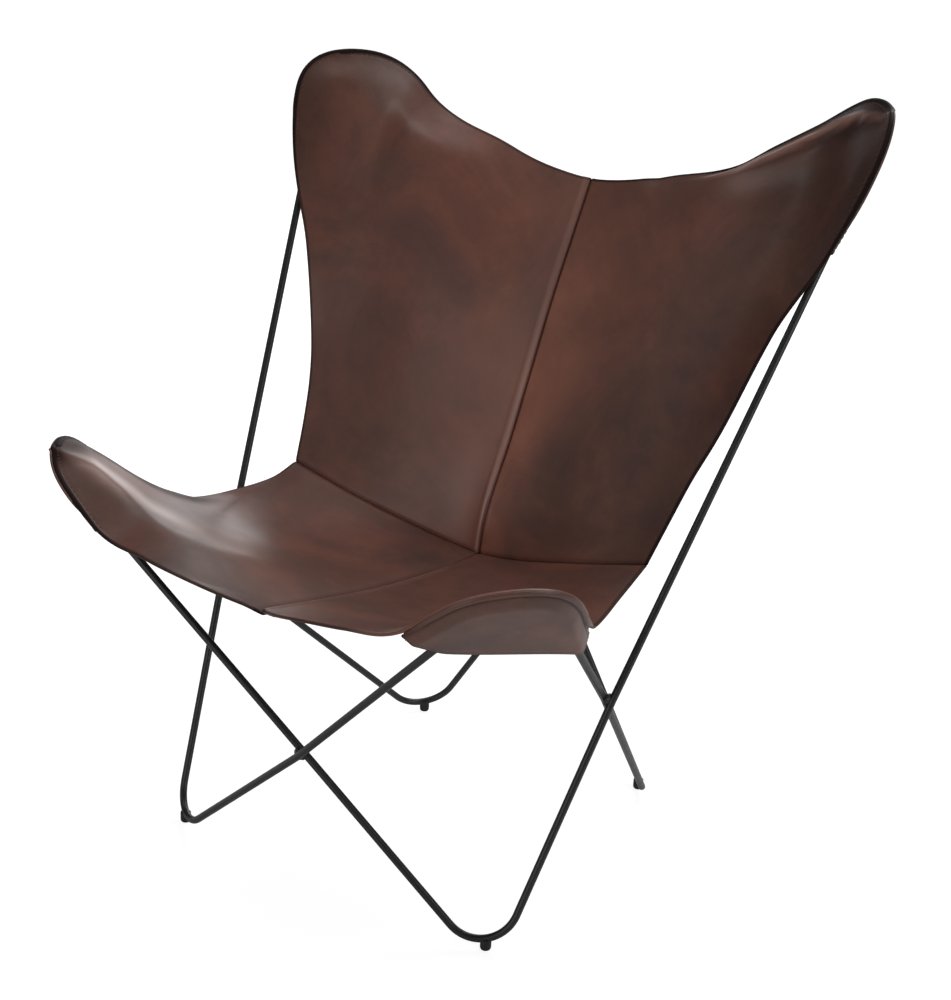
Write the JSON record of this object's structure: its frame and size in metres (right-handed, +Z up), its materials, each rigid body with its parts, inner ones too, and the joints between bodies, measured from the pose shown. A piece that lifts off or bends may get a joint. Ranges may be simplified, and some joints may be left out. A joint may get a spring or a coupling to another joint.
{
  "type": "butterfly sling chair",
  "caption": "Lounge chair with two crossed bent steel rod loops and a stitched leather sling hung by pockets on their four horns.",
  "frame": {"origin": "middle of the width and depth, on the floor", "axes": "+Z up, -Y to the front of the chair, +X to the right of someone who faces it"},
  "size_m": [0.8124, 0.7074, 0.8929],
  "materials": {
    "steel": "satin black",
    "glide": "matte black",
    "leather": "satin, dark red-brown pull-up",
    "seam_tape": "rough flesh side"
  },
  "bodies": {
    "root": {"frame_loop_right": "steel", "frame_loop_left": "steel", "weld_front": "steel", "weld_rear": "steel", "weld_right": "steel", "weld_left": "steel", "glide_front_right": "glide", "glide_front_left": "glide", "glide_rear_right": "glide", "glide_rear_left": "glide", "back_panel_right": "leather", "back_panel_left": "leather", "seat_panel_right": "leather", "seat_panel_left": "leather", "back_horn_pocket_right": "leather", "back_horn_pocket_left": "leather", "front_horn_pocket_right": "leather", "front_horn_pocket_left": "leather", "back_seam_tape": "seam_tape", "seat_seam_tape": "seam_tape", "cross_seam_tape": "seam_tape"}
  },
  "joints": []
}
